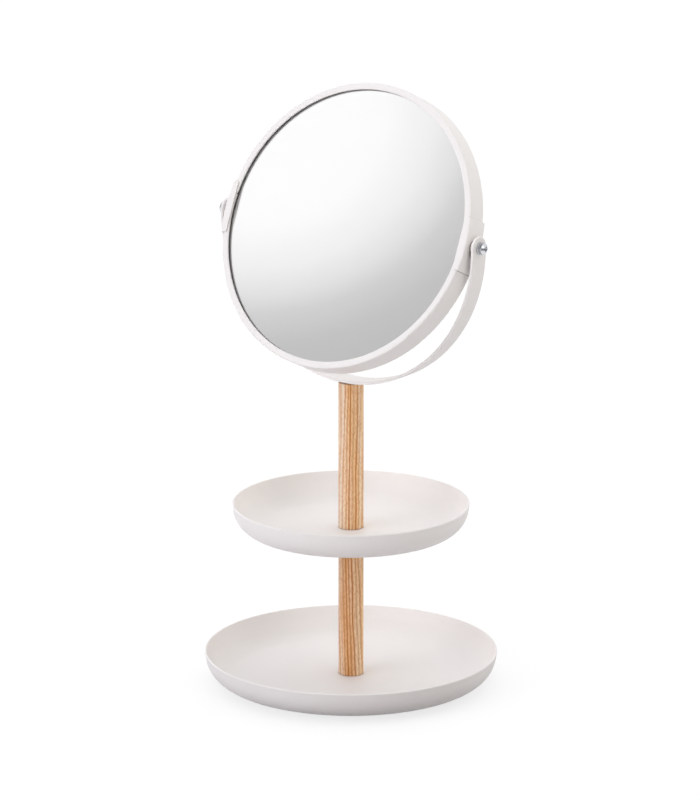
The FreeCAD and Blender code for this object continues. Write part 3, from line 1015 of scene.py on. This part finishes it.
# SKY_LEVEL and the strengths in SKY_LOBES come from a program. They are rounded, and lie in or close to the
# range between two results of a least-squares fit to the photo's smooth white areas, one render per lobe.
SKY_LEVEL = (0.10, 0.10, 0.10)
SKY_LOBES = (                    # azimuth from +X, elevation, strength, sharpness, colour
    (0, 90, 1.31, 8, COOL),
    (45, 45, 1.60, 8, MILD),
    (90, 45, 0.13, 8, COOL),
    (135, 45, 1.24, 8, COOL),
    (180, 45, 0.84, 8, COOL),
    (225, 45, 0.26, 8, COOL),
    (270, 45, 0.34, 8, COOL),
    (45, 8, 0.24, 8, NEUTRAL),
    (90, 8, 1.24, 8, NEUTRAL),
    (135, 8, 0.50, 8, NEUTRAL),
    (246, 12, 5.80, 14, PINK),
    (-14, 10, 3.45, 24, WARM),
)
STUDIO_LEVEL = 0.78              # what metal and glass reflect of the room, level with them
STUDIO_FALL = 0.22               # how much less of it overhead
STUDIO_BACK = 0.5                # how much more of it towards +Y, behind the object
STUDIO_BACK_START = -0.3         # Y of the direction in which that starts
STUDIO_BACK_RISE = 1.6           # and how steeply it grows
STUDIO_WINDOW = (-4, 21, 3.2, 45)    # a bright window in it: azimuth, elevation, strength, sharpness
WORLD_STRENGTH = 0.8


def lobe(w, towards, azimuth, elevation, strength, power):
    """A soft light in one direction, strongest in its middle."""
    azimuth, elevation = math.radians(azimuth), math.radians(elevation)
    level = math.cos(elevation)
    way = (level * math.cos(azimuth), level * math.sin(azimuth), math.sin(elevation))
    along = w.math("MULTIPLY", towards[0], way[0])
    for axis in (1, 2):
        along = w.math("ADD", along, w.math("MULTIPLY", towards[axis], way[axis]))
    return w.math("MULTIPLY", w.math("POWER", w.math("MAXIMUM", along, 0.0), power), strength)


def studio_world():
    """A sky for matt surfaces, a room for shiny ones, and plain white behind the object."""
    world = bpy.data.worlds.new("studio")
    bpy.context.scene.world = world
    world.use_nodes = True
    world.node_tree.nodes.clear()
    w = Nodes(world.node_tree)
    towards = w.split(w.add("ShaderNodeTexCoord").outputs["Generated"])
    path = w.add("ShaderNodeLightPath")
    shiny = w.math("ADD", path.outputs["Is Glossy Ray"], path.outputs["Is Transmission Ray"], clamp=True)
    seen = path.outputs["Is Camera Ray"]

    sky = SKY_LEVEL
    for azimuth, elevation, strength, power, colour in SKY_LOBES:
        light = lobe(w, towards, azimuth, elevation, strength, power)
        sky = w.vector("ADD", w.vector("SCALE", colour, light), sky)

    room = w.math("SUBTRACT", STUDIO_LEVEL, w.math("MULTIPLY", towards[2], STUDIO_FALL))
    past = w.math("ADD", towards[1], -STUDIO_BACK_START)
    behind = w.math("MULTIPLY", past, STUDIO_BACK_RISE, clamp=True)
    room = w.math("ADD", room, w.math("MULTIPLY", behind, STUDIO_BACK))
    room = w.math("ADD", room, lobe(w, towards, *STUDIO_WINDOW))

    sky = w.vector("SCALE", sky, w.math("SUBTRACT", 1.0, shiny))
    level = w.vector("ADD", sky, w.vector("SCALE", NEUTRAL, w.math("MULTIPLY", room, shiny)))
    level = w.vector("SCALE", level, w.math("SUBTRACT", 1.0, seen))
    level = w.vector("ADD", level, w.vector("SCALE", NEUTRAL, seen))
    backdrop = w.add("ShaderNodeBackground")
    w.join(level, backdrop.inputs["Color"])
    backdrop.inputs["Strength"].default_value = WORLD_STRENGTH
    w.join(backdrop.outputs[0], w.add("ShaderNodeOutputWorld").inputs["Surface"])


studio_world()
bpy.context.scene.view_settings.view_transform = "Standard"
